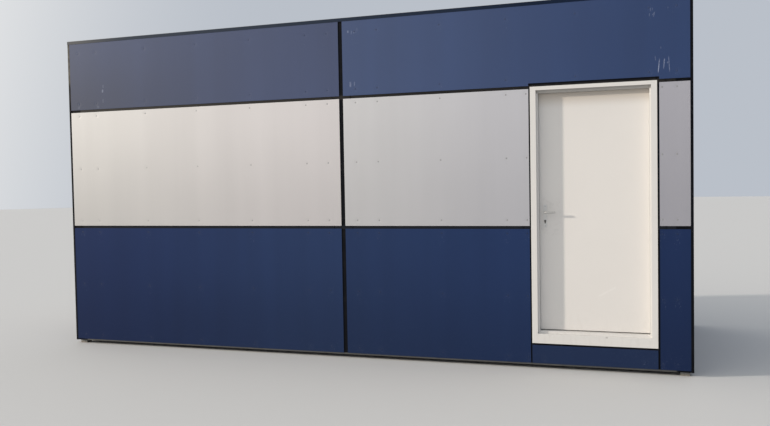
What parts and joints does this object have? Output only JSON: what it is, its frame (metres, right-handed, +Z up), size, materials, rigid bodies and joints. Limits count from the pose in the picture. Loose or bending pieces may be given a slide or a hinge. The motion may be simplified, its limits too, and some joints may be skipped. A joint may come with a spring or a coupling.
{
  "type": "portable site cabin",
  "caption": "Flat-roofed insulated site cabin on a steel base, clad in blue and silver flat sheet bands, with an inward-opening door and lever handle.",
  "frame": {"origin": "on the ground under the middle of the cabin", "axes": "+Z up, +X to the right along the front, the front with the door faces -Y"},
  "size_m": [5.804, 2.404, 2.995],
  "materials": {
    "blue_sheet": "satin factory coating on flat sheet, dark blue",
    "silver_sheet": "satin silver-grey coating on flat sheet",
    "black_profile": "black coated steel",
    "steel_frame": "dark grey painted structural steel",
    "foot_steel": "light grey galvanised block, dusty",
    "drip_metal": "bare galvanised strip, dull and dirty",
    "roof_edge_metal": "dark slate coated folded sheet",
    "roof_metal": "galvanised roof sheet",
    "wall_board": "off-white faced wall board",
    "floor_sheet": "grey flecked floor covering",
    "door_white": "white coated frame profile",
    "leaf_white": "white coated flat leaf",
    "hinge_white": "white coated hinges and handle plates",
    "lever_metal": "satin grey metal lever",
    "cylinder_metal": "tarnished lock cylinder"
  },
  "bodies": {
    "cabin": {"corner_feet": "foot_steel", "base_rails": "steel_frame", "floor_joists": "steel_frame", "floor_deck": "floor_sheet", "corner_post_front_left": "black_profile", "corner_post_front_right": "black_profile", "corner_post_back_left": "black_profile", "corner_post_back_right": "black_profile", "front_wall_left": "wall_board", "front_wall_right": "wall_board", "front_wall_over_door": "wall_board", "back_wall": "wall_board", "left_wall": "wall_board", "right_wall": "wall_board", "cladding_battens": "black_profile", "front_panel_top_left": "blue_sheet", "front_panel_top_right": "blue_sheet", "front_panel_middle_left": "silver_sheet", "front_panel_middle_centre": "silver_sheet", "front_panel_middle_right": "silver_sheet", "front_panel_bottom_left": "blue_sheet", "front_panel_bottom_centre": "blue_sheet", "front_panel_bottom_right": "blue_sheet", "front_panel_under_door": "blue_sheet", "back_panels_top": "blue_sheet", "back_panels_middle": "silver_sheet", "back_panels_bottom": "blue_sheet", "end_panels_top": "blue_sheet", "end_panels_middle": "silver_sheet", "end_panels_bottom": "blue_sheet", "drip_strips": "drip_metal", "roof_rails": "steel_frame", "ceiling": "wall_board", "roof_sheet": "roof_metal", "roof_edge": "roof_edge_metal", "door_jamb_left": "door_white", "door_jamb_right": "door_white", "door_head": "door_white", "door_sill": "door_white", "frame_hinges": "hinge_white"},
    "door": {"door_leaf": "leaf_white", "leaf_hinges": "hinge_white", "handle_plates": "hinge_white", "lock_cylinder": "cylinder_metal"},
    "lever": {"lever_handle": "lever_metal"}
  },
  "joints": [
    {"name": "door_hinge", "type": "hinge", "parent": "cabin", "child": "door", "pos_m": [2.5955, -1.062, 1.2935], "axis": [0, 0, -1], "range_deg": [0, 95]},
    {"name": "lever_turn", "type": "hinge", "parent": "door", "child": "lever", "pos_m": [1.757, -1.097, 1.284], "axis": [0, 1, 0], "range_deg": [0, 40], "stiffness_Nm_per_rad": 1.2, "springref_deg": -20.05}
  ]
}
